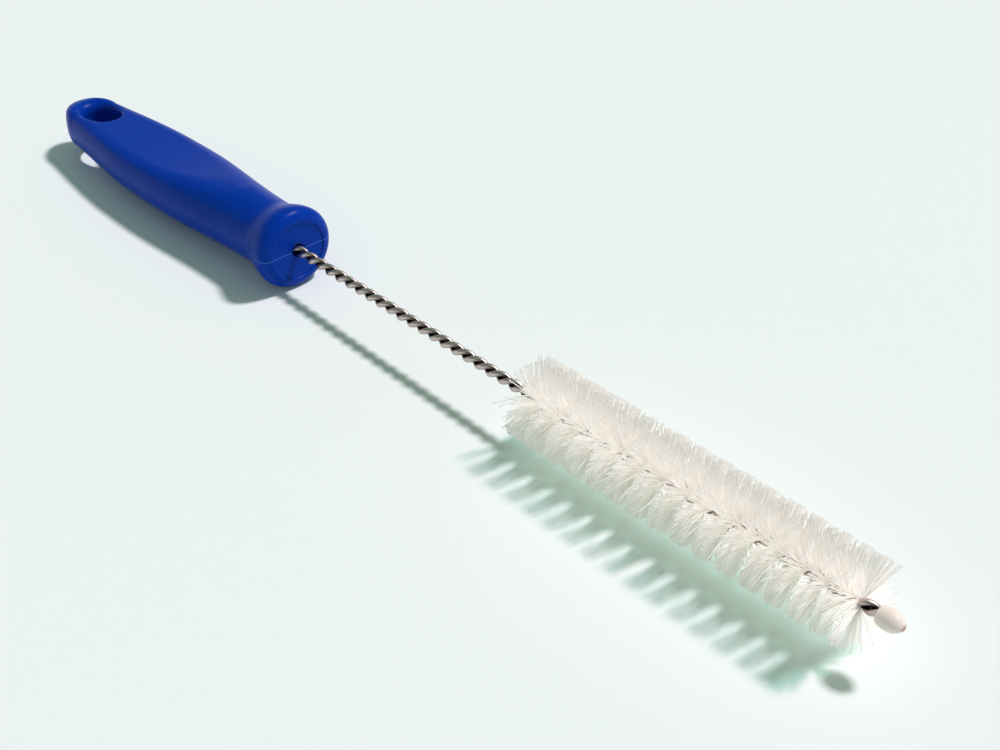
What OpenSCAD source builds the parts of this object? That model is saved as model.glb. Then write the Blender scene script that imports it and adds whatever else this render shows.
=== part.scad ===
// Twisted-wire bottle brush with a moulded plastic handle, lying at rest on a table.
// Millimetres. +Y runs along the brush towards its tip, +Z is up, X is across.
// z = 0 is the table, x = 0 the middle plane, y = 0 the middle of the whole length.
// The collar and the underside of the palm swell carry the brush, so the wire rises
// a little towards the tip and the bristles stay clear of the table.

/* [Handle] */
// length of the moulded handle from its front face to its far end
handle_length = 148.5; // [140:0.5:170]
// diameter of the rounded collar at the front of the handle
collar_d = 29.8; // [28.4:0.2:33]
// depth of the collar's front rounding, from its face to its widest circle
collar_lip = 3.8; // [3:0.1:5]
// distance behind the face where the collar has faded into the neck
collar_tail = 16; // [14:0.5:19]
// diameter of the flat disc on the collar's face
face_d = 21.4; // [18:0.2:23]
// how far that disc is sunk below the lip
face_recess = 0.4; // [0.2:0.1:0.8]
// diameter of the round neck behind the collar
neck_d = 24.4; // [22:0.2:26]
// greatest width of the palm swell
palm_w = 32; // [29:0.5:36]
// depth of the palm swell below the wire's line
palm_under = 13.5; // [12.9:0.1:14]
// width that the tail narrows towards
tail_w = 19.6; // [18:0.2:24]
// depth below the wire's line that the tail thins towards
tail_under = 10.2; // [9:0.1:12]
// length over which the far end rounds off, seen from above
tail_round = 14.5; // [11:0.5:17]
// length over which the top rounds off at the far end, seen from the side
tail_edge = 6.8; // [5:0.2:9]
// length over which the underside curves up to the far end
tail_rise = 18; // [10:1:24]

/* [Thumb scoop] */
// distance behind the face where the scoop starts
scoop_start = 34; // [30:1:42]
// length over which the scoop runs down to its floor
scoop_run = 75; // [55:1:90]
// height of the scoop's floor above the wire's line
scoop_floor = 7.7; // [6.5:0.1:9]
// crispness of the scoop's shoulder, higher is sharper
scoop_crisp = 9; // [5:1:14]

/* [Hang hole] */
// distance of the hang hole's middle from the far end
hang_setback = 19.8; // [19:0.2:24]
// length of the hang hole
hang_length = 18.8; // [15:0.2:20]
// width of the hang hole
hang_w = 12.4; // [9:0.2:13]
// radius of the hole's rim at the end towards the collar
rim_front = 1.2; // [0.6:0.1:2]
// radius of the hole's rim at the end towards the tail
rim_tail = 4.6; // [2:0.2:5]

/* [Twisted wire] */
// diameter of one strand of stainless wire
wire_d = 2; // [1.6:0.1:2.4]
// bare twisted stem between the handle and the bristles
stem_length = 115; // [80:1:150]
// lay of the bare stem, along the wire for one full left-hand turn
stem_lay = 10.8; // [9.5:0.1:13]
// lay of the wire where it grips the bristles
brush_lay = 16.4; // [14:0.2:20]
// length before the bead over which the lay shortens again to the bare stem's
tighten_run = 24; // [16:1:40]
// length of wire held inside the handle
grip_length = 46; // [30:1:60]
// direction of the first strand where the bristles start, about the wire
twist_phase = 321; // [0:1:359]

/* [Bristles] */
// diameter over the bristle tips
brush_d = 27; // [22:0.5:34]
// length of wire that carries bristles
brush_length = 124; // [90:1:150]
// thickness of one bristle blade at its tips, along the wire
blade_tip = 5.8; // [4:0.1:6.4]
// raggedness of the bristle tips
ragged = 0.9; // [0.3:0.1:1.4]
// how far the tips of the end tufts lean outwards along the wire
end_lean = 1.6; // [0:0.1:3]

/* [Tip bead] */
// length of the bead on the wire's end
bead_length = 7.8; // [7:0.2:11]
// greatest diameter of the bead
bead_d = 6.3; // [5.8:0.1:9]
// bare wire between the bristles and the bead
bead_gap = 5; // [3:0.1:7]
// length of wire held inside the bead
bead_grip = 4.4; // [3:0.1:4.8]

/* [Fit] */
// radial clearance round the twisted wire in the handle and in the bead
bore_clear = 0.08; // [0.04:0.01:0.2]

/* [Hidden] */

// colours of the plastic, the steel, the nylon and the bead
blue = [0.04, 0.13, 0.52];
steel = [0.66, 0.65, 0.63];
nylon = [0.90, 0.88, 0.82];
cream = [0.90, 0.86, 0.78];

wire_r = wire_d / 2;
// half the distance between the two strands, which touch along the middle
lay_r = wire_r + 0.01;
bore_r = 2 * wire_r + bore_clear;
neck_r = neck_d / 2;
collar_r = collar_d / 2;
brush_r = brush_d / 2;
tail_y = -handle_length;
brush_end = stem_length + brush_length;
bead_start = brush_end + bead_gap;
tip_y = bead_start + bead_length;
// the collar's end disc stands this much proud of the neck it closes on
neck_step = 0.06;

function clamp01(t) = max(0, min(1, t));
// soft step from 0 to 1
function ease(t) = 0.5 - 0.5 * cos(180 * clamp01(t));
// quarter-round fall from 1 to 0 over the last part of the handle
function round_off(d, run) =
    let (k = clamp01((d - handle_length + run) / run)) sqrt(max(0, 1 - k * k));

// the palm swell is widest over this stretch, measured back from the face
palm_front = 0.51 * handle_length;
palm_back = 0.57 * handle_length;
tail_far = 1.1 * handle_length;

// half width of the handle at a distance d behind its face
function swell(d, front, middle, back) =
    d < palm_front
        ? front + (middle - front) * ease((d - 14) / (palm_front - 14))
        : middle - (middle - back) * ease((d - palm_back) / (tail_far - palm_back));
function half_width(d) = swell(d, neck_r, palm_w / 2, tail_w / 2) * round_off(d, tail_round);
// fall of the top and of the underside at the far end, which stays a little blunt
function thin(d) = 0.4 + 0.6 * round_off(d, tail_edge);
function rise(d) = 0.34 + 0.66 * round_off(d, tail_rise);
function under(d) = swell(d, neck_r, palm_under, tail_under) * rise(d);
function upper(d) = swell(d, neck_r, palm_under, tail_under) * thin(d);
// height of the thumb scoop, high above the neck where there is none
function scoop(d) =
    let (start = neck_r + 0.7)
    d < scoop_start
        ? start + 0.35 * (scoop_start - d)
        : (scoop_floor + (start - scoop_floor) * pow(1 - clamp01((d - scoop_start) / scoop_run), 2.5))
            * thin(d);
// height of a point of the rounded back once the scoop has cut it
function cut_height(z, limit) = z / pow(1 + pow(z / limit, scoop_crisp), 1 / scoop_crisp);

// stations of the handle behind the collar, closer together where it rounds off
handle_stations = concat(
    [collar_tail - 6, collar_tail],
    [for (d = [20:4:handle_length - 13]) d],
    [for (b = [10.5, 7.5, 5, 3.2, 1.8, 0.8, 0.12]) handle_length - b]
);
around = 48;
function handle_ring(d) =
    let (w = half_width(d) - (d < collar_tail ? 1.2 : 0))
    let (trim = d < collar_tail ? 1.2 : 0)
    [for (i = [0:around - 1])
        let (a = 360 * i / around)
        let (z = (sin(a) > 0 ? upper(d) - trim : under(d) - trim) * sin(a))
        [w * cos(a), -d, z > 0 ? cut_height(z, scoop(d)) : z]];

// faces that join rings of n points each and close both ends
function skin(rings, n) = concat(
    [[for (i = [0:n - 1]) i]],
    [for (k = [0:rings - 2], i = [0:n - 1], half = [0, 1])
        let (j = (i + 1) % n)
        half == 0
            ? [k * n + i, (k + 1) * n + i, (k + 1) * n + j]
            : [k * n + i, (k + 1) * n + j, k * n + j]],
    [[for (i = [n - 1:-1:0]) (rings - 1) * n + i]]
);

// lying on the table: the collar and the lowest point of the underside both touch it
rest_tilt = min([for (d = [44:2:handle_length - 10])
    atan2(collar_r - under(d), d - collar_lip)]);
wire_height = (collar_r - collar_lip) * cos(rest_tilt) + collar_lip + collar_lip * sin(rest_tilt);
middle_y = (tip_y + tail_y) / 2 * cos(rest_tilt);
module lie_down() {
    translate([0, -middle_y, wire_height])
        rotate([rest_tilt, 0, 0])
            children();
}
// turns a shape drawn along Z so that it points along the wire
module along_wire() {
    rotate([-90, 0, 0])
        children();
}

// ---- handle ----
// outline of the collar from the middle of its face to the neck
lip_steps = 10;
tail_steps = 14;
collar_outline = concat(
    [[0, -face_recess]],
    // three shallow turning rings on the face
    [for (r = [0.42, 0.54, 0.66], p = [[-0.3, 0], [0, 0.14], [0.3, 0]])
        [r * face_d / 2 + p[0], -face_recess - p[1]]],
    [[face_d / 2 - face_recess, -face_recess]],
    [for (i = [0:lip_steps])
        let (a = 90 * i / lip_steps)
        [face_d / 2 + (collar_r - face_d / 2) * sin(a), -collar_lip * (1 - cos(a))]],
    [for (i = [1:tail_steps])
        let (t = i / tail_steps)
        [neck_r + neck_step + (collar_r - neck_r - neck_step) * (1 - ease(t)),
            -collar_lip - (collar_tail - collar_lip) * t]],
    [[0, -collar_tail]]
);
module collar() {
    along_wire()
        rotate_extrude($fn = 96)
            polygon(collar_outline);
}
module grip_body() {
    rings = [for (d = handle_stations) handle_ring(d)];
    polyhedron(
        points = [for (r = rings, p = r) p],
        faces = skin(len(rings), around),
        convexity = 6
    );
}
// the hang hole, its rim crisp towards the collar and rolled towards the tail
around_hole = 40;
rim_arc = [75, 60, 45, 30, 15, 0];
hole_d = handle_length - hang_setback;
function rim_radius(a) = rim_front + (rim_tail - rim_front) * (1 - cos(a)) / 2;
// point and outward direction of the hole's plan, the angle measured from the collar side
function plan_power(t) = sign(t) * pow(abs(t), 0.88);
function hole_plan(a) = [hang_w / 2 * plan_power(sin(a)), hole_d - hang_length / 2 * plan_power(cos(a))];
function hole_out(a) = let (n = [hang_length * sin(a), -hang_w * cos(a)]) n / norm(n);
// how high and how deep the handle's surface lies at the rim
function rim_side(p) = sqrt(max(0, 1 - pow(p[0] / half_width(p[1]), 2)));
function rim_top(p) = cut_height(upper(p[1]) * rim_side(p), scoop(p[1]));
function rim_low(p) = under(p[1]) * rim_side(p);
// one ring of the cutter: sense 1 is the upper mouth, -1 the lower one
function mouth_ring(sense, arc, clear) =
    [for (i = [0:around_hole - 1])
        let (a = 360 * i / around_hole)
        let (p = hole_plan(a))
        let (r = rim_radius(a))
        let (q = p + (r * (1 - cos(arc)) + 0.2 * clear) * hole_out(a))
        let (z = (sense > 0 ? rim_top(p) : rim_low(p)) - r + r * sin(arc) + clear)
        [q[0], -q[1], sense * z]];
module hang_hole() {
    rings = concat(
        [mouth_ring(1, rim_arc[0], 8)],
        [for (t = rim_arc) mouth_ring(1, t, 0)],
        [for (k = [len(rim_arc) - 1:-1:0]) mouth_ring(-1, rim_arc[k], 0)],
        [mouth_ring(-1, rim_arc[0], 8)]
    );
    polyhedron(
        points = [for (r = rings, p = r) p],
        faces = skin(len(rings), around_hole),
        convexity = 6
    );
}
module wire_bore() {
    along_wire()
        translate([0, 0, -grip_length - 0.5])
            cylinder(h = grip_length + 2, r = bore_r, $fn = 48);
    // countersink at the mouth
    along_wire()
        translate([0, 0, -face_recess - 0.7])
            cylinder(h = 1.4, r1 = bore_r, r2 = bore_r + 1.2, $fn = 48);
}
module handle() {
    color(blue)
        lie_down()
            difference() {
                union() {
                    collar();
                    grip_body();
                }
                wire_bore();
                hang_hole();
            }
}

// ---- twisted wire ----
// how far into the last stretch, where the bristles end and the lay shortens
function into_tip(y) = max(0, y - bead_start + tighten_run) / tighten_run;
// turns per millimetre that the shorter lay adds
tighten = 1 / stem_lay - 1 / brush_lay;
// direction of the first strand about the wire, at y along it; left-hand lay
function twist(y) =
    y < stem_length
        ? twist_phase + 360 * (stem_length - y) / stem_lay
        : twist_phase - 360 * (y - stem_length) / brush_lay
            - 180 * tighten * tighten_run * pow(into_tip(y), 2);
function lay_at(y) = y < stem_length ? stem_lay : 1 / (1 / brush_lay + tighten * into_tip(y));
// unit vector at an angle about the wire
function spoke(a) = [sin(a), 0, cos(a)];
strand_sides = 8;
function strand_ring(y, turn) =
    let (a = twist(y) + turn)
    let (n = spoke(a))
    let (t0 = [-cos(a), lay_at(y) / (2 * PI * lay_r), sin(a)])
    let (t = t0 / norm(t0))
    let (b = cross(t, n))
    [for (i = [0:strand_sides - 1])
        let (c = 360 * i / strand_sides)
        [0, y, 0] + lay_r * n + wire_r * (cos(c) * n + sin(c) * b)];
steps_per_turn = 10;
function strand_stations(last) =
    let (n1 = ceil((stem_length + grip_length) / stem_lay * steps_per_turn))
    let (n2 = ceil((last - stem_length) / brush_lay * steps_per_turn))
    concat(
        [for (i = [0:n1 - 1]) -grip_length + (stem_length + grip_length) * i / n1],
        [for (i = [0:n2]) stem_length + (last - stem_length) * i / n2]
    );
module strand(last, turn) {
    stations = strand_stations(last);
    rings = [for (y = stations) strand_ring(y, turn)];
    polyhedron(
        points = [for (r = rings, p = r) p],
        faces = skin(len(rings), strand_sides),
        convexity = 10
    );
}
module wire_long() {
    color(steel)
        lie_down()
            strand(bead_start + bead_grip, 180);
}
module wire_short() {
    color(steel)
        lie_down()
            strand(bead_start + bead_grip - 1.4, 0);
}

// ---- bristles ----
// two blades of filaments, wound between the strands with the same left-hand lay
blade_root = 0.62 * wire_r;
// the wire's first and last millimetres of bristle, where the tufts lean outwards
function lean(y) =
    let (from_start = (y - stem_length) / (brush_lay / 2))
    let (from_end = (brush_end - y) / (brush_lay / 2))
    end_lean * (pow(1 - clamp01(from_end), 2) - pow(1 - clamp01(from_start), 2));
blade_steps = 36;
// r and offset along the wire of one blade's outline, at station k; it thins as the lay shortens
function blade_outline(k, y) =
    let (tip = blade_tip * lay_at(y) / brush_lay)
    let (tooth = ragged * (k % 2))
    let (shift = 0.075 * tip * ((k % 3) - 1))
    [
        [blade_root, -0.36 * wire_r],
        [brush_r * 0.16, -0.24 * tip],
        [brush_r - 1.1 - tooth, shift - tip / 2],
        [brush_r - tooth, shift - tip / 4],
        [brush_r - tooth, shift + tip / 4],
        [brush_r - 1.1 - tooth, shift + tip / 2],
        [brush_r * 0.16, 0.24 * tip],
        [blade_root, 0.36 * wire_r]
    ];
blade_points = 8;
module blade(turn) {
    n = ceil(brush_length / brush_lay * blade_steps);
    rings = [for (k = [0:n])
        let (y = stem_length + 0.6 + (brush_length - 1.2) * k / n)
        let (d = spoke(twist(y) + turn))
        [for (p = blade_outline(k, y)) p[0] * d + [0, y + p[1] + lean(y) * pow(p[0] / brush_r, 2), 0]]];
    polyhedron(
        points = [for (r = rings, p = r) p],
        faces = skin(len(rings), blade_points),
        convexity = 20
    );
}
module bristles() {
    color(nylon)
        lie_down() {
            blade(90);
            blade(270);
        }
}

// ---- tip bead ----
bead_r = bead_d / 2;
bead_back_r = bore_r + 0.2;
bead_widest = 0.42;
bead_steps = 22;
function bead_radius(t) =
    t < bead_widest
        ? bead_back_r + (bead_r - bead_back_r) * sqrt(1 - pow(1 - t / bead_widest, 2))
        : bead_r * pow(1 - pow((t - bead_widest) / (1 - bead_widest), 2.2), 0.7);
module tip_bead() {
    color(cream)
        lie_down()
            along_wire()
                translate([0, 0, bead_start])
                    difference() {
                        rotate_extrude($fn = 64)
                            polygon(concat(
                                [[0, 0]],
                                [for (i = [0:bead_steps])
                                    let (t = 0.5 - 0.5 * cos(180 * i / bead_steps))
                                    [max(0.001, bead_radius(t)), bead_length * t]],
                                [[0, bead_length]]
                            ));
                        translate([0, 0, -1])
                            cylinder(h = bead_grip + 1.3, r = bore_r, $fn = 48);
                    }
}

handle();
wire_long();
wire_short();
bristles();
tip_bead();
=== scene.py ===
# %% [markdown]
# # A twisted-wire bottle brush
#
# The brush lies on a pale table: a blue moulded handle, a stem of two twisted stainless
# strands, nylon bristles that the strands grip, and a small bead on the tip. The packed
# CAD model is the fixed frame. It says how big each piece is and where it lies, and this
# script gives each piece the surface and the finish of the real one.

import math

import bpy
import numpy as np
from mathutils import Euler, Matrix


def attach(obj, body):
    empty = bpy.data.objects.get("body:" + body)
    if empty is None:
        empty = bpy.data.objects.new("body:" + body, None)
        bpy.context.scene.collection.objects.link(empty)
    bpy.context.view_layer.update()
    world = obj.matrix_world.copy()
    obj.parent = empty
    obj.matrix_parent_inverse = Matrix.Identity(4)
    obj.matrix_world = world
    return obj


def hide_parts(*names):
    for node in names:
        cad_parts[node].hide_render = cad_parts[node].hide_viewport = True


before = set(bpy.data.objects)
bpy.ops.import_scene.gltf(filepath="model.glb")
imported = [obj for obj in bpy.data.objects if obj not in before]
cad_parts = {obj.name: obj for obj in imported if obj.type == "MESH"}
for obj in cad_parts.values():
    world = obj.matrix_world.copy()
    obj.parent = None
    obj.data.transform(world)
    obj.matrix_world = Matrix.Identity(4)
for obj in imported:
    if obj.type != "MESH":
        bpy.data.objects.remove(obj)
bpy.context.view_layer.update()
print("CAD nodes:", sorted(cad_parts))

# %% [markdown]
# ## Sizes
#
# All pieces are drawn in a "brush frame" in millimetres: Y runs along the wire, with 0 on
# the handle's face, and Z is up out of the thumb scoop. The handle's own distances, called
# d, are counted backwards from its face. These are the values of the part's source, so the
# pieces land on their CAD nodes.

# %% The sizes of the brush, in millimetres
# the handle: its collar and face, its palm swell and tail, its thumb scoop, its hang hole
handle_length, collar_d, collar_lip, collar_tail = 148.5, 29.8, 3.8, 16.0
face_d, face_recess, neck_d = 21.4, 0.4, 24.4
palm_w, palm_under, tail_w, tail_under = 32.0, 13.5, 19.6, 10.2
tail_round, tail_rise = 14.5, 18.0
scoop_start, scoop_run, scoop_floor = 34.0, 75.0, 7.7
hang_setback, hang_length, hang_w, rim_front, rim_tail = 19.8, 18.8, 12.4, 1.2, 4.6
# the strands; a lay is the length of wire that one full turn takes
wire_d, stem_length, stem_lay, brush_lay, tighten_run = 2.0, 115.0, 10.8, 16.4, 24.0
twist_phase = 321.0
# the bristles and the bead
brush_d, brush_length = 27.0, 124.0
bead_length, bead_d, bead_gap, bead_grip = 7.8, 6.3, 5.0, 4.4

wire_r, brush_r, bead_r = wire_d / 2, brush_d / 2, bead_d / 2
collar_r, neck_r, face_r = collar_d / 2, neck_d / 2, face_d / 2
# half the distance between the two strands, and the radius that they fill together
lay_r = wire_r + 0.01
pair_r = lay_r + wire_r
brush_end = stem_length + brush_length
bead_start = brush_end + bead_gap
tip_y = bead_start + bead_length
print("whole length", round(tip_y + handle_length, 1), "mm")

# %% [markdown]
# The handle leaves its collar as a round neck, swells towards the palm and narrows again
# to its tail. Two numbers give each size, one at the palm and one at the tail, and a soft
# step joins them, because a moulded grip has no straight runs and no corners.

# %% How the handle swells and narrows along its length
# the swell starts here, is full over this stretch of the length, and ends past the tail
swell_start, palm_front, palm_back, swell_end = 14.0, 0.51, 0.57, 1.1
# the share of the underside's depth that is left at the very end of the tail
heel, drawn_heel = 0.34, 0.55
scoop_lip, scoop_slope, scoop_curve = 0.7, 0.35, 2.5


def ease(t):
    """Soft step from 0 to 1."""
    return 0.5 - 0.5 * np.cos(np.pi * np.clip(t, 0, 1))


def round_off(d, run):
    """Quarter-round fall from 1 to 0 over the last part of the handle."""
    return np.sqrt(1 - np.clip((d - handle_length + run) / run, 0, 1) ** 2)


def swell(d, middle, back):
    """Half a size of the handle, at a distance d behind its face."""
    front, far, end = (share * handle_length for share in (palm_front, palm_back, swell_end))
    fall = ease((d - collar_lip) / (collar_tail - collar_lip))
    collar = neck_r + (collar_r - neck_r) * (1 - fall)
    body = np.where(
        d < front,
        neck_r + (middle - neck_r) * ease((d - swell_start) / (front - swell_start)),
        middle - (middle - back) * ease((d - far) / (end - far)),
    )
    return np.where(d < collar_tail, collar, body)


def under(d, left):
    """Depth of the underside, of which a share is left at the very end."""
    return swell(d, palm_under, tail_under) * (left + (1 - left) * round_off(d, tail_rise))


def scoop(d):
    """Height of the thumb scoop's floor above the wire's line."""
    start = neck_r + scoop_lip
    run = np.clip((d - scoop_start) / scoop_run, 0, 1)
    return np.where(
        d < scoop_start,
        start + scoop_slope * (scoop_start - d),
        scoop_floor + (start - scoop_floor) * (1 - run) ** scoop_curve,
    )


print("half width at the palm", float(swell(palm_front * handle_length, palm_w / 2, tail_w / 2)), "mm")

# %% [markdown]
# The brush rests on two places, the lip of its collar and the belly of its palm swell, so
# the wire is tilted by about a degree. The tilt is worked out in the same way as in the
# part's source, and one function then lays every point on the table.

# %% Lay the brush on the table
stations = np.arange(44, handle_length - 9.9, 2)
belly = under(stations, heel)
rest_tilt = float(np.min(np.arctan2(collar_r - belly, stations - collar_lip)))
tilt_cos, tilt_sin = math.cos(rest_tilt), math.sin(rest_tilt)
wire_height = (collar_r - collar_lip) * tilt_cos + collar_lip + collar_lip * tilt_sin
middle_y = (tip_y - handle_length) / 2 * tilt_cos
print("rest tilt", round(math.degrees(rest_tilt), 3), "deg, wire height", round(wire_height, 2), "mm")


def tilt(vectors):
    """Turns brush-frame vectors by the rest tilt."""
    v = np.asarray(vectors, float)
    y = v[:, 1] * tilt_cos - v[:, 2] * tilt_sin
    z = v[:, 1] * tilt_sin + v[:, 2] * tilt_cos
    return np.stack([v[:, 0], y, z], 1)


def lay_down(points):
    """Brush-frame millimetres to the table's metres."""
    return (tilt(points) + [0, -middle_y, wire_height]) / 1000


# %% [markdown]
# ## Small tools
#
# A node function adds one shader node with its settings and links. A mesh function turns
# arrays of points and quads into an object. It also stores each point's place in the brush
# frame as an attribute, so that a material can draw a mould line or a painted shade in a
# groove at its true place in millimetres. Most pieces are rings of points, one after another,
# so the quads between rings are numbered by one function too.


# %% Material tools
def to_linear(code):
    """An sRGB hex colour as the linear RGBA that Blender's sockets take."""
    rgb = [int(code[i : i + 2], 16) / 255 for i in (1, 3, 5)]
    return [c / 12.92 if c <= 0.04045 else ((c + 0.055) / 1.055) ** 2.4 for c in rgb] + [1.0]


def add_node(tree, kind, settings=None, links=None, **properties):
    """Adds a node, sets its inputs and properties, and links sockets into it."""
    made = tree.nodes.new(kind)
    for name, value in properties.items():
        setattr(made, name, value)
    for name, value in (settings or {}).items():
        made.inputs[name].default_value = value
    for name, socket in (links or {}).items():
        tree.links.new(socket, made.inputs[name])
    return made


def new_material(name):
    """A new material, its cleared node tree, and the place of its surface shader."""
    material = bpy.data.materials.new(name)
    material.use_nodes = True
    tree = material.node_tree
    tree.nodes.clear()
    out = add_node(tree, "ShaderNodeOutputMaterial")
    return material, tree, out.inputs["Surface"]


print("a mid grey in linear light:", round(to_linear("#808080")[0], 3))


# %% Mesh tools
def ring_quads(rings, sides):
    """Quads between rings of points; each ring has the same number of sides."""
    k = np.arange(rings - 1)[:, None] * sides
    i = np.arange(sides)[None]
    j = (i + 1) % sides
    return np.stack([k + i, k + j, k + sides + j, k + sides + i], -1).reshape(-1, 4)


# the same quads seen from the other side, with the same first corner
turned_over = [0, 3, 2, 1]


def make_piece(name, points, quads, material, normals=None):
    """A mesh object from brush-frame points in mm, laid on the table."""
    mesh = bpy.data.meshes.new(name)
    mesh.vertices.add(len(points))
    mesh.vertices.foreach_set("co", lay_down(points).ravel())
    mesh.loops.add(quads.size)
    mesh.loops.foreach_set("vertex_index", quads.astype(np.int32).ravel())
    mesh.polygons.add(len(quads))
    mesh.polygons.foreach_set("loop_start", np.arange(0, quads.size, 4, dtype=np.int32))
    mesh.polygons.foreach_set("loop_total", np.full(len(quads), 4, dtype=np.int32))
    mesh.update(calc_edges=True)
    mesh.polygons.foreach_set("use_smooth", np.ones(len(quads), dtype=bool))
    where = mesh.attributes.new("brush_mm", "FLOAT_VECTOR", "POINT")
    where.data.foreach_set("vector", points.astype(np.float32).ravel())
    if normals is not None:
        mesh.normals_split_custom_set_from_vertices([tuple(v) for v in tilt(normals)])
    mesh.materials.append(material)
    piece = bpy.data.objects.new(name, mesh)
    bpy.context.scene.collection.objects.link(piece)
    print(f"{name}: {len(points)} points, {2 * len(quads)} triangles")
    return piece


# %% [markdown]
# ## Table, light and camera
#
# The brush lies on a smooth pale table, painted matt, which takes soft shadows well. A
# wide flat sheet would show its far edge in low views, so the table is a large disc whose
# rim turns up gently, like a studio sweep.

# %% The table
table_r, flat_r, rim_rise = 4.0, 2.2, 0.9  # metres
table_paint, tree, surface = new_material("table_paint_matt")
# matt paint: a broad weak sheen, and a white with a hint of green
coat = add_node(
    tree,
    "ShaderNodeBsdfPrincipled",
    {"Base Color": to_linear("#EDF3F1"), "Roughness": 0.75, "Specular IOR Level": 0.25},
)
tree.links.new(coat.outputs["BSDF"], surface)
rings, spokes = 40, 96
radii = np.concatenate([[0.02], np.linspace(0.1, table_r, rings - 1)])
heights = np.where(radii > flat_r, rim_rise * ((radii - flat_r) / (table_r - flat_r)) ** 2, 0.0)
angles = np.arange(spokes) * 2 * math.pi / spokes
table_points = [(r * math.cos(a), r * math.sin(a), h) for r, h in zip(radii, heights) for a in angles]
table_faces = [list(range(spokes))] + ring_quads(rings, spokes)[:, turned_over].tolist()
table_mesh = bpy.data.meshes.new("table")
table_mesh.from_pydata(table_points, [], table_faces)
table_mesh.polygons.foreach_set("use_smooth", [True] * len(table_mesh.polygons))
table_mesh.materials.append(table_paint)
table = bpy.data.objects.new("table", table_mesh)
bpy.context.scene.collection.objects.link(table)
print("table radius", radii[-1], "m")

# %% [markdown]
# One lamp stands high on the far side of the brush. Its disc is some eight degrees wide, so
# a shadow is crisp where the brush touches the table and softens as the brush rises from
# it. A weak fill from all round, slightly green, stands for the light that the room
# returns, and it is what the shadows are lit by.

# %% The lamp and the fill
# the azimuth is counted from +X towards +Y, the elevation from the table
lamp_azimuth, lamp_elevation = 154.1, 58.7
lamp_data = bpy.data.lights.new("studio_lamp", "SUN")
lamp_data.energy = 2.8
lamp_data.angle = math.radians(7.8)
lamp_data.color = (1.0, 0.925, 0.985)
lamp = bpy.data.objects.new("studio_lamp", lamp_data)
lamp.rotation_euler = Euler((0, math.radians(90 - lamp_elevation), math.radians(lamp_azimuth)))
bpy.context.scene.collection.objects.link(lamp)

world = bpy.data.worlds.new("studio_fill")
bpy.context.scene.world = world
world.use_nodes = True
sky = world.node_tree
sky.nodes.clear()
fill = add_node(sky, "ShaderNodeBackground", {"Color": to_linear("#D6F7E4"), "Strength": 0.30})
add_node(sky, "ShaderNodeOutputWorld", links={"Surface": fill.outputs["Background"]})
print("lamp", round(lamp_data.energy, 2), "W/m2 at", lamp_elevation, "deg")

# %% [markdown]
# The camera looks down on the brush from its tip end, with a normal lens, so that the near
# bristles are a little larger than the far handle. Light passes through many filaments
# before it leaves the bristles, so the ray limits are raised with the camera's settings.

# %% The camera
camera_data = bpy.data.cameras.new("camera")
camera_data.sensor_width = 36.0
camera_data.lens = 56.121
camera_data.clip_start, camera_data.clip_end = 0.01, 50
camera = bpy.data.objects.new("camera", camera_data)
camera.location = (0.263769, 0.334632, 0.295935)
camera.rotation_euler = Euler([math.radians(v) for v in (54.2432, -0.5408, 137.4517)])
bpy.context.scene.collection.objects.link(camera)
bpy.context.scene.camera = camera
bpy.context.scene.view_settings.view_transform = "Standard"
bpy.context.scene.cycles.max_bounces = 12
bpy.context.scene.cycles.diffuse_bounces = 12
bpy.context.scene.cycles.transmission_bounces = 12
bpy.context.scene.cycles.transparent_max_bounces = 24
print("camera lens", round(camera_data.lens, 2), "mm")

# %% [markdown]
# ## The handle's shape
#
# The handle is one thick moulding with no sharp edge. Its collar is turned, the palm
# swell is oval, a thumb scoop planes its top and an oval hang hole goes through its tail.
# Booleans would leave creases where these meet. A field is kinder: one function is
# negative inside the plastic and positive outside, and a rounding radius is stated
# wherever two forms meet. The skin is then the surface where the function is zero.

# %% The handle as a field
# how much squarer than an oval the end of the tail is, and the hang hole all along
tail_squareness, hole_power = 1.8, 2.27
# the scoop's edge is rounded, and its floor falls by this share at the tail
shoulder_r, tail_dip = 2.2, 0.25
seat_depth, wire_hole_r, wire_hole_depth = 0.6, 3.0, 12.0


def round_cut(a, b, r):
    """Keeps what is inside both a and b, with the edge rounded to radius r."""
    outside = np.hypot(np.maximum(a + r, 0), np.maximum(b + r, 0))
    return np.minimum(-r, np.maximum(a, b)) + outside


def barrel(x, d, z):
    """The oval body with its blunt round end, 0 on the surface."""
    k = np.clip((d - handle_length + tail_round) / tail_round, 0, None)
    power = 2 + tail_squareness * np.clip(k, 0, 1)
    flat = np.hypot(x / swell(d, palm_w / 2, tail_w / 2), k)
    depth = np.where(z < 0, under(d, drawn_heel), swell(d, palm_under, tail_under))
    tall = np.abs(z) / depth
    return (flat**power + tall**power) ** (1 / power) - 1


def barrel_distance(x, d, z, h=0.02):
    """The same, scaled to millimetres by its own slope."""
    slope = np.sqrt(
        ((barrel(x + h, d, z) - barrel(x - h, d, z)) / (2 * h)) ** 2
        + ((barrel(x, d + h, z) - barrel(x, d - h, z)) / (2 * h)) ** 2
        + ((barrel(x, d, z + h) - barrel(x, d, z - h)) / (2 * h)) ** 2
    )
    return barrel(x, d, z) / np.maximum(slope, 0.03)


def hole_distance(x, d):
    """Distance outside the oval hang hole's wall."""
    half_w, half_l, q = hang_w / 2, hang_length / 2, hole_power
    u = np.abs(x) / half_w + 1e-6
    v = np.abs(d - (handle_length - hang_setback)) / half_l + 1e-6
    total = u**q + v**q
    slope = total ** (1 / q - 1) * np.hypot(u ** (q - 1) / half_w, v ** (q - 1) / half_l)
    return (total ** (1 / q) - 1) / np.maximum(slope, 0.02)


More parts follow.
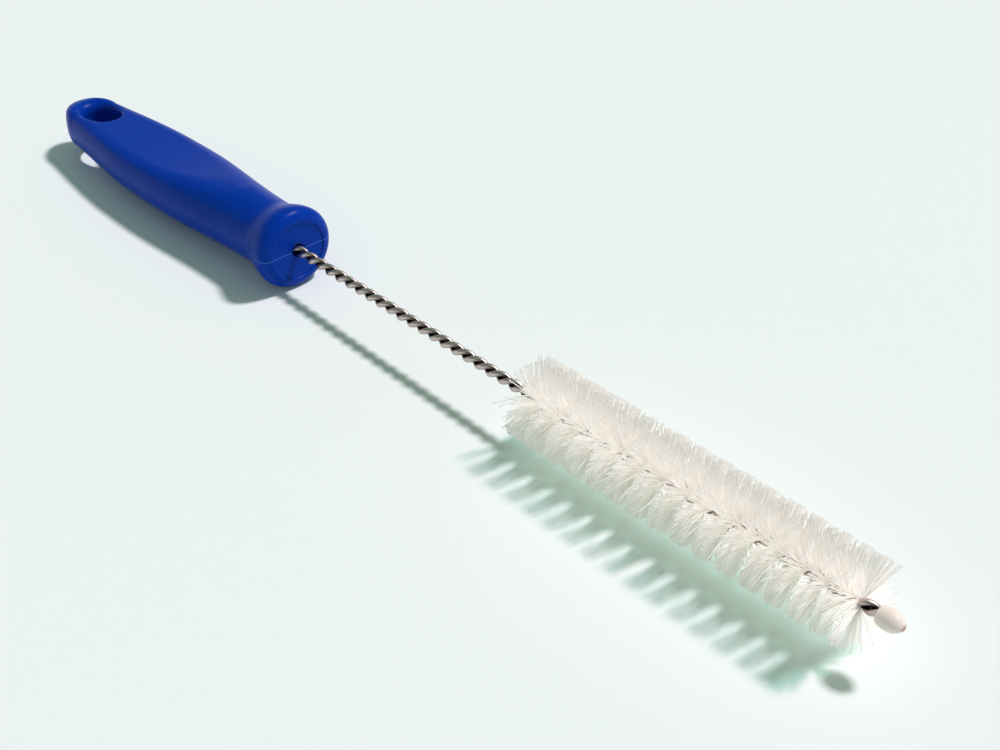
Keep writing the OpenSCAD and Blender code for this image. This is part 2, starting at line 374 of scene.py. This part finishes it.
def handle_field(x, d, z):
    """Negative inside the handle, positive outside, in millimetres."""
    # the flat face, the quarter round of the collar's lip, and the body behind it
    r = np.hypot(x, z)
    out_of_face = np.maximum(r - face_r, 0) / (collar_r - face_r)
    lip = (np.hypot(out_of_face, (collar_lip - d) / collar_lip) - 1) * collar_lip
    front = np.where(r < face_r, -d, lip)
    body = np.where(d < collar_lip, front, barrel_distance(x, d, z))
    # the thumb scoop planes the top
    k = np.clip((d - handle_length + tail_round) / tail_round, 0, 1)
    body = round_cut(body, z - scoop(d) * (1 - tail_dip * k**3), shoulder_r)
    # towards the tail the hole's rim is rolled, towards the collar it is crisp
    back = np.clip((d - handle_length + hang_setback) / (hang_length / 2), -1, 1)
    rim = rim_front + (rim_tail - rim_front) * (1 + back) / 2
    body = round_cut(body, -hole_distance(x, d), rim)
    # the seat of the face disc, and the hole that the strands come out of
    body = np.maximum(body, -np.maximum(r - face_r, d - seat_depth))
    return np.maximum(body, -np.maximum(r - wire_hole_r, d - wire_hole_depth))


print("field in the palm:", round(float(handle_field(0.0, 80.0, 0.0)), 2), "mm")

# %% [markdown]
# A grid of small boxes is laid over the field. Each box that the surface passes through
# gets one point, and neighbouring points are joined by a quad, a method called surface
# nets. It needs no library and gives even quads without poles, which suits a form that
# has no edges to follow.


# %% Surface nets
def net(field, xs, ds, zs):
    """Points and quads of the surface where the field is zero."""
    grid = np.meshgrid(xs, ds, zs, indexing="ij")
    value = field(*grid)
    solid = value < 0
    shape = tuple(n - 1 for n in value.shape)
    total, hits = np.zeros(shape + (3,)), np.zeros(shape)
    # each grid edge that crosses the surface adds its crossing to the boxes round it
    for axis in range(3):
        others = [k for k in range(3) if k != axis]
        lower, upper = [slice(None)] * 3, [slice(None)] * 3
        lower[axis], upper[axis] = slice(None, -1), slice(1, None)
        lower, upper = tuple(lower), tuple(upper)
        crossed = solid[lower] != solid[upper]
        drop = np.where(crossed, value[lower] - value[upper], 1)
        share = np.where(crossed, value[lower] / drop, 0)
        at = [g[lower] + (g[upper] - g[lower]) * share for g in grid]
        for i, j in ((0, 0), (0, 1), (1, 0), (1, 1)):
            part = [slice(None)] * 3
            part[others[0]] = slice(i, i + shape[others[0]])
            part[others[1]] = slice(j, j + shape[others[1]])
            part = tuple(part)
            hits += crossed[part]
            for k in range(3):
                total[..., k] += np.where(crossed[part], at[k][part], 0)
    active = hits > 0
    number = np.full(shape, -1)
    number[active] = np.arange(active.sum())
    points = total[active] / hits[active][:, None]
    # the same edge then joins the points of those four boxes, wound to face outwards
    quads = []
    for axis in range(3):
        others = [k for k in range(3) if k != axis]
        lower, upper = [slice(1, -1)] * 3, [slice(1, -1)] * 3
        lower[axis], upper[axis] = slice(None, -1), slice(1, None)
        first, second = solid[tuple(lower)], solid[tuple(upper)]
        crossed = np.argwhere(first != second)
        leaving = first[first != second]
        corners = []
        for i, j in ((0, 0), (1, 0), (1, 1), (0, 1)):
            box = crossed.copy()
            box[:, others[0]] += i
            box[:, others[1]] += j
            corners.append(number[tuple(box.T)])
        quad = np.stack(corners, 1)
        backward = leaving if axis == 1 else ~leaving
        quad[backward] = quad[backward][:, ::-1]
        quads.append(quad)
    return points, np.concatenate(quads)


# %% [markdown]
# The points of the net lie near the surface but not on it, and are unevenly spaced. They
# are moved in turns: along the field's slope until they lie on the surface, then sideways
# towards the middle of their neighbours. At the end they are on the surface to well under
# a micrometre. The slope is also the shading normal, so the gloss runs as smoothly over
# the mesh as over the real moulding.


# %% Settle the points on the surface
def slope_at(field, p, h=0.01):
    """The field's slope at each point, which is the direction out of the surface."""
    steps = np.eye(3) * h
    return np.stack([(field(*(p + s).T) - field(*(p - s).T)) / (2 * h) for s in steps], 1)


def settle(field, points, rounds=6, longest=0.25):
    """Slides the points onto the surface and returns them with their normals."""
    for _ in range(rounds):
        slope = slope_at(field, points)
        steepness = np.maximum((slope**2).sum(1), 1e-4)[:, None]
        move = field(*points.T)[:, None] * slope / steepness
        size = np.linalg.norm(move, axis=1, keepdims=True)
        points = points - move * np.minimum(1, longest / np.maximum(size, 1e-9))
    slope = slope_at(field, points)
    return points, slope / np.linalg.norm(slope, axis=1, keepdims=True)


def spread_evenly(points, quads, normals, share=0.6):
    """Moves each point along the surface towards the middle of its neighbours."""
    total, count = np.zeros_like(points), np.zeros(len(points))
    for k in range(4):
        for here, there in ((quads[:, k], quads[:, k - 1]), (quads[:, k - 1], quads[:, k])):
            count += np.bincount(here, minlength=len(points))
            for axis in range(3):
                total[:, axis] += np.bincount(here, points[there, axis], minlength=len(points))
    move = total / np.maximum(count, 1)[:, None] - points
    move -= (move * normals).sum(1, keepdims=True) * normals
    return points + share * move


def grid_lines(*runs):
    """Grid lines: each run is (start, end, spacing)."""
    return np.concatenate([np.arange(a, b - 1e-9, s) for a, b, s in runs] + [[runs[-1][1]]])


# the boxes are half a millimetre, and finer along the collar's small lip
grid_x = grid_lines((-17.2, 17.2, 0.5))
grid_d = grid_lines((-0.6, 4.2, 0.3), (4.2, 150.2, 0.52))
grid_z = grid_lines((-15.8, 15.8, 0.5))
handle_points, handle_quads = net(handle_field, grid_x, grid_d, grid_z)
for _ in range(3):
    handle_points, handle_normals = settle(handle_field, handle_points, 2)
    handle_points = spread_evenly(handle_points, handle_quads, handle_normals)
handle_points, handle_normals = settle(handle_field, handle_points)
furthest = 1000 * float(np.abs(handle_field(*handle_points.T)).max())
print("handle skin:", len(handle_quads), "quads, furthest off", round(furthest, 4), "micrometres")

# %% [markdown]
# ## The handle's plastic
#
# The handle is injection-moulded polypropylene, dyed right through. The mould's polish
# gives it a soft gloss with a faint orange-peel waviness, and years of hands leave it a
# little smoother in some patches than in others. A thin raised line shows where the
# mould's two halves met, level with the wire, and on the collar it is paler than the rest.

# %% Moulded polypropylene
# polypropylene: a deep even blue and a soft low gloss, weaker than its index would give
polypropylene, tree, surface = new_material("polypropylene_moulded_blue")
place = add_node(tree, "ShaderNodeAttribute", attribute_name="brush_mm").outputs["Vector"]
# the place is in millimetres, so a scale is a number of grains to the millimetre: the
# patches are some 11 mm wide, as a finger is, and the orange peel's waves just over 1 mm
patches = add_node(
    tree,
    "ShaderNodeTexNoise",
    {"Scale": 0.09, "Detail": 3.0, "Roughness": 0.55},
    {"Vector": place},
)
peel = add_node(tree, "ShaderNodeTexNoise", {"Scale": 0.9, "Detail": 2.0}, {"Vector": place})
dyed = add_node(
    tree,
    "ShaderNodeMix",
    {"A": to_linear("#002F98"), "B": to_linear("#0038A0")},
    {"Factor": patches.outputs["Fac"]},
    data_type="RGBA",
)
gloss = add_node(
    tree,
    "ShaderNodeMapRange",
    {"To Min": 0.26, "To Max": 0.36},
    {"Value": patches.outputs["Fac"]},
)
# the mould line is 1 within 0.05 mm of the wire's level and fades out by 0.22 mm
xyz = add_node(tree, "ShaderNodeSeparateXYZ", links={"Vector": place})
off_line = add_node(tree, "ShaderNodeMath", links={0: xyz.outputs["Z"]}, operation="ABSOLUTE")
line = add_node(
    tree,
    "ShaderNodeMapRange",
    {"From Min": 0.05, "From Max": 0.22, "To Min": 1.0, "To Max": 0.0},
    {"Value": off_line.outputs[0]},
    interpolation_type="SMOOTHSTEP",
)
at_collar = add_node(
    tree,
    "ShaderNodeMapRange",
    {"From Min": -collar_tail, "From Max": -0.6 * collar_tail, "To Max": 0.6},
    {"Value": xyz.outputs["Y"]},
)
flash = add_node(
    tree,
    "ShaderNodeMath",
    links={0: line.outputs["Result"], 1: at_collar.outputs["Result"]},
    operation="MULTIPLY",
)
tone = add_node(
    tree,
    "ShaderNodeMix",
    {"B": to_linear("#4F86D6")},
    {"Factor": flash.outputs[0], "A": dyed.outputs["Result"]},
    data_type="RGBA",
)
waves = add_node(
    tree,
    "ShaderNodeBump",
    {"Strength": 0.25, "Distance": 0.00006},
    {"Height": peel.outputs["Fac"]},
)
seam = add_node(
    tree,
    "ShaderNodeBump",
    {"Strength": 0.6, "Distance": 0.00006},
    {"Height": line.outputs["Result"], "Normal": waves.outputs["Normal"]},
)
skin = add_node(
    tree,
    "ShaderNodeBsdfPrincipled",
    {"IOR": 1.49, "Specular IOR Level": 0.065},
    {
        "Base Color": tone.outputs["Result"],
        "Roughness": gloss.outputs["Result"],
        "Normal": seam.outputs["Normal"],
    },
)
tree.links.new(skin.outputs["BSDF"], surface)
print(polypropylene.name, "has", len(tree.nodes), "nodes")

# %% The handle piece
# the field counts d backwards from the face, so y is its opposite and the winding turns round
handle_points[:, 1] *= -1
handle_normals[:, 1] *= -1
handle = make_piece(
    "handle_moulding", handle_points, handle_quads[:, ::-1], polypropylene, handle_normals
)
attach(handle, "root")
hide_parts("handle")

# %% [markdown]
# ## The face disc
#
# The collar's face is a sunk disc with shallow rings, left by the tool that turned the
# mould's insert. It is drawn as a lathe would cut it: a profile of radius and depth,
# turned round the wire. The profile starts deep in the countersunk hole that the strands
# come out of, crosses the disc, and ends in a fine rounded bead round the rim.


# %% A lathe
def lathe(profile, spokes):
    """Points and quads of a (radius, y) profile turned round the wire."""
    turn = np.arange(spokes) * 2 * math.pi / spokes
    points = [(r * math.sin(a), y, r * math.cos(a)) for r, y in profile for a in turn]
    return np.array(points), ring_quads(len(profile), spokes)


# the turned rings: how deep, how far apart, where one is deepest, and where they are cut
ring_depth, ring_pitch, ring_at, first_ring, last_ring = 0.05, 1.28, 4.5, 4.0, 8.0
hole_wall = [(2.15, -11.5), (2.15, -1.6)]
countersink = [(2.25, -1.0), (2.5, -0.62), (2.85, -face_recess)]
rim = [(10.42, -face_recess), (10.55, -0.33), (10.62, -0.2), (10.68, -0.06)]
rim += [(10.78, 0.0), (11.0, 0.005), (11.3, -0.02), (11.6, -0.16)]
disc = []
for r in np.arange(3.2, 10.3, 0.1):
    wave = 0.5 + 0.5 * math.cos((r - ring_at) * 2 * math.pi / ring_pitch)
    ring = ring_depth * wave**6 if first_ring < r < last_ring else 0
    disc.append((r, -face_recess - ring))
# the same polypropylene, under a name of its own for the turned insert
face_plastic = polypropylene.copy()
face_plastic.name = "polypropylene_turned_face"
disc_points, disc_quads = lathe(hole_wall + countersink + disc + rim, 160)
face_disc = make_piece("handle_face", disc_points, disc_quads, face_plastic)
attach(face_disc, "root")
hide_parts("handle")

# %% [markdown]
# ## The strands
#
# The stem is two stainless wires wound round each other, left-handed. Where they grip
# the bristles the winding is longer, because the bristles keep them apart, and just
# before the bead it tightens again. Each strand is a round section carried along a helix.


# %% The winding
# how many more turns each millimetre has on the bare stem than in the bristles
tighten = 1 / stem_lay - 1 / brush_lay


def into_tip(y):
    """How far into the last stretch, where the lay shortens again."""
    return np.maximum(0, np.asarray(y, float) - bead_start + tighten_run) / tighten_run


def twist(y):
    """Direction of the first strand about the wire, in degrees."""
    y = np.asarray(y, float)
    bare = twist_phase + 360 * (stem_length - y) / stem_lay
    gripping = twist_phase - 360 * (y - stem_length) / brush_lay
    return np.where(y < stem_length, bare, gripping - 180 * tighten * tighten_run * into_tip(y) ** 2)


def lay_at(y):
    """Length of wire that one full turn takes."""
    return np.where(y < stem_length, stem_lay, 1 / (1 / brush_lay + tighten * into_tip(y)))


# the cut ends are slightly rounded over: how far on each extra ring is, and how wide
end_ahead, end_width = np.array([0.12, 0.24, 0.33, 0.36]), np.array([0.97, 0.86, 0.62, 0.0])


def strand(y_start, y_end, turn, sides=20, spacing=0.3):
    """One wire as a tube with rounded ends."""
    y = np.linspace(y_start, y_end, int((y_end - y_start) / spacing) + 1)
    a = np.radians(twist(y) + turn)
    outward = np.stack([np.sin(a), 0 * a, np.cos(a)], 1)
    forward = np.stack([-np.cos(a), lay_at(y) / (2 * math.pi * lay_r), np.sin(a)], 1)
    forward /= np.linalg.norm(forward, axis=1, keepdims=True)
    aside = np.cross(forward, outward)
    centre = np.stack([0 * y, y, 0 * y], 1) + lay_r * outward
    start = centre[0] - forward[0] * end_ahead[::-1, None]
    end = centre[-1] + forward[-1] * end_ahead[:, None]
    centre = np.concatenate([start, centre, end])
    width = np.concatenate([end_width[::-1], np.ones(len(y)), end_width])
    extra = ((len(end_ahead), len(end_ahead)), (0, 0))
    outward, aside = (np.pad(way, extra, "edge")[:, None] for way in (outward, aside))
    ring = (np.arange(sides) * 2 * math.pi / sides)[None, :, None]
    around = np.cos(ring) * outward + np.sin(ring) * aside
    points = centre[:, None] + wire_r * width[:, None, None] * around
    return points.reshape(-1, 3), ring_quads(len(centre), sides)[:, turned_over]


print("turns of the bare stem:", round(stem_length / stem_lay, 1))

# %% [markdown]
# Drawn stainless wire is a warm grey metal with a satin gloss. The shade in the deep groove
# between the strands, where light hardly gets in, is painted into the metal's colour, so the
# colour follows the distance from the stem's axis: darker near it, plain grey on the outer crests.
# Inside the bristles the strands throw only a faint shadow on the table, because the filaments
# round them scatter the light: there the metal lets a shadow ray from far away pass with a pale green
# tint.

# %% Drawn stainless wire
# stainless steel: a metal with a warm grey colour and a satin gloss from the drawing die
stainless, tree, surface = new_material("stainless_wire_drawn")
place = add_node(tree, "ShaderNodeAttribute", attribute_name="brush_mm").outputs["Vector"]
# fine marks of the die, drawn a third of a millimetre wide so that they show
lines = add_node(tree, "ShaderNodeTexNoise", {"Scale": 3.0, "Detail": 3.0}, {"Vector": place})
rough = add_node(
    tree,
    "ShaderNodeMapRange",
    {"To Min": 0.24, "To Max": 0.4},
    {"Value": lines.outputs["Fac"]},
)
marks = add_node(
    tree,
    "ShaderNodeBump",
    {"Strength": 0.2, "Distance": 0.00003},
    {"Height": lines.outputs["Fac"]},
)
# painted shade: the metal's colour is made darker towards the stem's axis, in the groove between the
# strands where shade falls; the outer crests keep the plain grey
flat = add_node(tree, "ShaderNodeVectorMath", {1: (1, 0, 1)}, {0: place}, operation="MULTIPLY")
off_axis = add_node(
    tree,
    "ShaderNodeVectorMath",
    links={0: flat.outputs["Vector"]},
    operation="LENGTH",
)
crest = add_node(
    tree,
    "ShaderNodeMapRange",
    {"From Min": 0.55 * pair_r, "From Max": 0.9 * pair_r},
    {"Value": off_axis.outputs["Value"]},
)
groove_shade = add_node(
    tree,
    "ShaderNodeMix",
    {"A": to_linear("#453632"), "B": to_linear("#C9B9B4")},
    {"Factor": crest.outputs["Result"]},
    data_type="RGBA",
)
metal = add_node(
    tree,
    "ShaderNodeBsdfPrincipled",
    {"Metallic": 1.0},
    {
        "Base Color": groove_shade.outputs["Result"],
        "Roughness": rough.outputs["Result"],
        "Normal": marks.outputs["Normal"],
    },
)
# 1 inside the bristles, and 1 for a shadow ray from more than 12 mm away
xyz = add_node(tree, "ShaderNodeSeparateXYZ", links={"Vector": place})
in_bristles = add_node(
    tree,
    "ShaderNodeMapRange",
    {"From Min": stem_length + 1, "From Max": stem_length + 6},
    {"Value": xyz.outputs["Y"]},
)
path = add_node(tree, "ShaderNodeLightPath")
from_table = add_node(
    tree,
    "ShaderNodeMath",
    {1: 0.012},
    {0: path.outputs["Ray Length"]},
    operation="GREATER_THAN",
)
spread = add_node(
    tree,
    "ShaderNodeMath",
    links={0: in_bristles.outputs["Result"], 1: from_table.outputs[0]},
    operation="MULTIPLY",
)
scattered = add_node(tree, "ShaderNodeBsdfTransparent", {"Color": (0.6, 0.8, 0.7, 1)})
thinned = add_node(
    tree,
    "ShaderNodeMixShader",
    links={0: spread.outputs[0], 1: metal.outputs["BSDF"], 2: scattered.outputs["BSDF"]},
)
wire_skin = add_node(
    tree,
    "ShaderNodeMixShader",
    links={0: path.outputs["Is Shadow Ray"], 1: metal.outputs["BSDF"], 2: thinned.outputs["Shader"]},
)
tree.links.new(wire_skin.outputs["Shader"], surface)
print(stainless.name, "has", len(tree.nodes), "nodes")

# %% The two strands
# both start inside the handle and end in the bead, the long one a little deeper
strand_start, grip_end = -9.0, bead_start + bead_grip
for name, node_name, short_of, turn in (
    ("strand_long", "wire_long", 0.4, 180),
    ("strand_short", "wire_short", 1.8, 0),
):
    points, quads = strand(strand_start, grip_end - short_of, turn)
    piece = make_piece(name, points, quads, stainless)
    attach(piece, "root")
    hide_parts(node_name)

# %% [markdown]
# ## The bristles
#
# The filaments are fine nylon, laid between the strands before they were twisted, so they
# stand out in two blades that wind along the wire. Seen from the side, a blade's tips draw
# a row of soft scallops. Most filaments lie on one of the blade's two faces, since the
# strands press them apart there, and a few strays stand between the blades. The first ones
# lean back along the stem, and the last ones splay forward and close into a full rosette
# behind the bead. Each filament is drawn by itself, as a curve of five points, because no
# texture gives a brush its open edge.

# %% Place the filaments
# the seed makes every run draw the same brush
rng = np.random.default_rng(7)
# a brush's nylon is up to 0.3 mm thick: it is drawn a touch thicker, so that single
# filaments show, and there are so many of them to each millimetre of a blade
filament_d, per_mm = 0.32, 27
# how far tips lean along the wire in mm, half a blade's width in degrees, how many stray
blade_lean, blade_swing, stray_share = 0.2, 33.0, 0.12
# bare wire before the first filaments of each blade, and after the last ones
first_gap, second_gap, last_gap = 0.6, 1.8, 0.5
# the last millimetres hold twice as many
rosette_run, rosette_gap = 3.5, 0.4
# the filaments leave the wire this far from its axis, a little spread
foot_r, foot_spread = 0.75, 0.25 / 0.9


def near(distance, run):
    """1 at one end of the bristles, falling to 0 where the run ends."""
    return np.clip(1 - distance / run, 0, 1)


def filament_lines():
    """Points along each filament, from the wire to its tip."""
    lines = []
    for side in (90, 270):
        y = np.arange(stem_length + first_gap, brush_end - last_gap, 1 / per_mm)
        more = np.arange(brush_end - rosette_run, brush_end - rosette_gap, 1 / per_mm)
        y = np.concatenate([y, more])
        if side == 90:
            y = y[y > stem_length + second_gap]
        y = y + rng.uniform(-0.5, 0.5, len(y)) / per_mm
        # the first millimetres hold fewer filaments
        y = y[rng.random(len(y)) < np.clip(0.3 + (y - stem_length) / 4, 0, 1)]
        from_start, from_end = y - stem_length, brush_end - y
        n = len(y)
        # which face of the blade a filament lies on, and which ones stray
        face = rng.choice([-1, 1], n) * (1 - 0.3 * rng.random(n) ** 2)
        stray = rng.random(n) < stray_share
        # how far the tip stands along the wire from the foot
        lean = np.where(stray, rng.uniform(-3, 3, n), rng.normal(0, blade_lean, n))
        lean = lean * lay_at(y) / brush_lay
        lean += (2.2 * near(from_end, 4) + 2.6 * near(from_end, 2)) * rng.uniform(-0.1, 1.2, n)
        lean -= 2.6 * near(from_start, 5) ** 2 * rng.uniform(0.3, 1.4, n)
        # how far the tip is turned round the wire; the last turn closes into a full rosette
        swing = np.where(stray, rng.uniform(-80, 80, n), blade_swing * face)
        swing += 85 * np.clip(1.6 - from_end / 2.5, 0, 1) * rng.uniform(-1, 1, n)
        # each filament bows a little, sideways and along the wire
        bow = rng.normal(0, 0.07, (n, 2))
        # most tips are cut to one length, and three in a hundred are up to 1.2 mm short
        reach = brush_r - 0.05 - np.abs(rng.normal(0, 0.16, n))
        reach -= 1.2 * (rng.random(n) < 0.03) * rng.random(n)
        foot = np.radians(twist(y) + side) + foot_spread * face
        turn = np.radians(twist(y) + side) + np.radians(swing)
        root = np.stack([foot_r * np.sin(foot), y, foot_r * np.cos(foot)], 1)
        tip = np.stack([reach * np.sin(turn), y + lean, reach * np.cos(turn)], 1)
        aside = np.stack([np.cos(turn), 0 * y, -np.sin(turn)], 1)
        along = np.array([[0.0, 1.0, 0.0]])
        path = []
        for share in (0.0, 0.25, 0.5, 0.75, 1.0):
            bend = math.sin(math.pi * share) * (bow[:, :1] * aside + bow[:, 1:] * along)
            path.append(root + (tip - root) * share + bend)
        lines.append(np.stack(path, 1))
    return np.concatenate(lines)


lines = filament_lines()
lines = lines[np.argsort(lines[:, 0, 1])]
print(len(lines), "filaments")

# %% [markdown]
# Each line becomes a thin tube of six sides, enough to shade as round at this size. Its
# tip is domed and a hair wider than the rest, as a trimmed filament's is, so the tips
# catch the light as fine dots. All tubes have the same pattern of quads, and numpy shifts
# that pattern from tube to tube, so thousands of filaments cost no time.


# %% Tubes round the lines
def filament_tubes(lines, radius, sides=6):
    """Points and quads of round tubes along the lines, each with a domed tip."""
    steps = lines.shape[1]
    ahead = lines[:, -1] - lines[:, -2]
    ahead /= np.linalg.norm(ahead, axis=1, keepdims=True)
    u = np.cross(ahead, [0.0, 1.0, 0.0])
    u /= np.linalg.norm(u, axis=1, keepdims=True)
    v = np.cross(ahead, u)
    spin = rng.random(len(lines)) * 2 * math.pi
    centres = [lines[:, k] for k in range(steps)] + [lines[:, -1] + 0.06 * ahead]
    widths = [1.0] * (steps - 1) + [1.12, 0.8]
    ring_points = []
    for centre, width in zip(centres, widths):
        for c in range(sides):
            a = spin + c * 2 * math.pi / sides
            around = np.cos(a)[:, None] * u + np.sin(a)[:, None] * v
            ring_points.append(centre + radius * width * around)
    points = np.stack(ring_points, 1)
    # the walls, and two quads that close each end
    last = steps * sides
    ends = []
    for c in range(1, sides - 1, 2):
        ends.append([last, last + c, last + c + 1, last + (c + 2) % sides])
        ends.append([0, (c + 2) % sides, c + 1, c])
    one_tube = np.concatenate([ring_quads(steps + 1, sides), ends])
    shift = np.arange(len(lines))[:, None, None] * points.shape[1]
    return points.reshape(-1, 3), (shift + one_tube[None]).reshape(-1, 4)


print("six-sided tubes,", 2 * (6 * lines.shape[1] + 4), "triangles each")

# %% [markdown]
# Nylon filament is a milky, translucent plastic. Light that falls on a tuft passes from
# filament to filament and comes out soft, so the shaded side stays pale. Half of the
# surface is therefore a Translucent shader. A true scatter inside thousands of tubes would
# take too long, so the lamp's light is let through each wall with a tint: nearly clear
# inside the tuft, and greener further off, which leaves a pale mint shadow on the table.
# A ray meets only the near wall of a tube, and the rear wall is left open.

# %% Nylon filament
# natural nylon: a milky white, glossy along the extruded side
nylon, tree, surface = new_material("nylon_filament_natural")
body = add_node(
    tree,
    "ShaderNodeBsdfPrincipled",
    {"Base Color": to_linear("#FEFCF9"), "Roughness": 0.3, "IOR": 1.53},
)
glow = add_node(tree, "ShaderNodeBsdfTranslucent", {"Color": to_linear("#FEFCF9")})
milky = add_node(
    tree,
    "ShaderNodeMixShader",
    {0: 0.5},
    {1: body.outputs["BSDF"], 2: glow.outputs["BSDF"]},
)
# a shadow ray's length is the way from the shaded place to the filament, in metres: up to
# 6 mm the shaded place is another filament, and beyond 16 mm it is the table
path = add_node(tree, "ShaderNodeLightPath")
depth = add_node(
    tree,
    "ShaderNodeMapRange",
    {"From Min": 0.006, "From Max": 0.016},
    {"Value": path.outputs["Ray Length"]},
)
tint = add_node(
    tree,
    "ShaderNodeMix",
    {"A": (0.882, 0.8755, 0.864, 1), "B": (0.48, 0.7, 0.645, 1)},
    {"Factor": depth.outputs["Result"]},
    data_type="RGBA",
)
passed = add_node(tree, "ShaderNodeBsdfTransparent", links={"Color": tint.outputs["Result"]})
lets_by = add_node(
    tree,
    "ShaderNodeMixShader",
    links={0: path.outputs["Is Shadow Ray"], 1: milky.outputs["Shader"], 2: passed.outputs["BSDF"]},
)
side_of = add_node(tree, "ShaderNodeNewGeometry")
far_wall = add_node(tree, "ShaderNodeBsdfTransparent")
filament = add_node(
    tree,
    "ShaderNodeMixShader",
    links={0: side_of.outputs["Backfacing"], 1: lets_by.outputs["Shader"], 2: far_wall.outputs["BSDF"]},
)
tree.links.new(filament.outputs["Shader"], surface)
print(nylon.name, "has", len(tree.nodes), "nodes")

# %% The four lengths of the bristles
# four pieces along the wire keep each one below the limit of triangles
for k, part in enumerate(np.array_split(lines, 4)):
    points, faces = filament_tubes(part, filament_d / 2)
    tuft = make_piece(f"filaments_{k + 1}", points, faces, nylon)
    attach(tuft, "root")
    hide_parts("bristles")

# %% [markdown]
# ## The tip bead
#
# The bead keeps the cut wire from scratching glass. It is a small egg of cream plastic
# with a socket at its back, where both strands go in, and a fine brownish point in front.
# A lathe profile draws it, as it did the face disc.

# %% The bead's plastic
# moulded plastic of a waxy softness: a satin gloss, and light that goes a little way in
bead_plastic, tree, surface = new_material("bead_plastic_cream")
place = add_node(tree, "ShaderNodeAttribute", attribute_name="brush_mm").outputs["Vector"]
xyz = add_node(tree, "ShaderNodeSeparateXYZ", links={"Vector": place})
# the last 0.7 mm darken towards the point
point = add_node(
    tree,
    "ShaderNodeMapRange",
    {"From Min": tip_y - 0.7, "From Max": tip_y - 0.1},
    {"Value": xyz.outputs["Y"]},
    interpolation_type="SMOOTHSTEP",
)
bead_tone = add_node(
    tree,
    "ShaderNodeMix",
    {"A": to_linear("#F3E4DC"), "B": to_linear("#B79C88")},
    {"Factor": point.outputs["Result"]},
    data_type="RGBA",
)
cream = add_node(
    tree,
    "ShaderNodeBsdfPrincipled",
    {
        "Roughness": 0.42,
        "IOR": 1.5,
        "Specular IOR Level": 0.35,
        "Subsurface Weight": 0.2,
        "Subsurface Radius": (0.002, 0.0014, 0.001),
        "Subsurface Scale": 1.0,
    },
    {"Base Color": bead_tone.outputs["Result"]},
)
tree.links.new(cream.outputs["BSDF"], surface)
print(bead_plastic.name, "has", len(tree.nodes), "nodes")

# %% The bead
bead_back_r, widest, nose_fall, nose_round = 2.28, 0.42, 2.2, 0.7
socket_r, socket_depth, thinnest = 2.09, 4.5, 0.02


def bead_radius(t):
    """Radius of the bead, at a share t of its length from the back."""
    if t < widest:
        return bead_back_r + (bead_r - bead_back_r) * math.sqrt(1 - (1 - t / widest) ** 2)
    return bead_r * max(0.0, 1 - ((t - widest) / (1 - widest)) ** nose_fall) ** nose_round


# the socket's bottom, its wall and its mouth, then the outside from the back to the point
bead_profile = [(thinnest, bead_start + socket_depth), (socket_r, bead_start + socket_depth)]
bead_profile += [(socket_r, bead_start + 0.3), (2.15, bead_start)]
for k in range(61):
    t = 0.5 - 0.5 * math.cos(math.pi * k / 60)
    bead_profile.append((max(thinnest, bead_radius(t)), bead_start + bead_length * t))
bead_points, bead_quads = lathe(bead_profile, 72)
bead = make_piece("bead", bead_points, bead_quads, bead_plastic)
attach(bead, "root")
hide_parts("tip_bead")
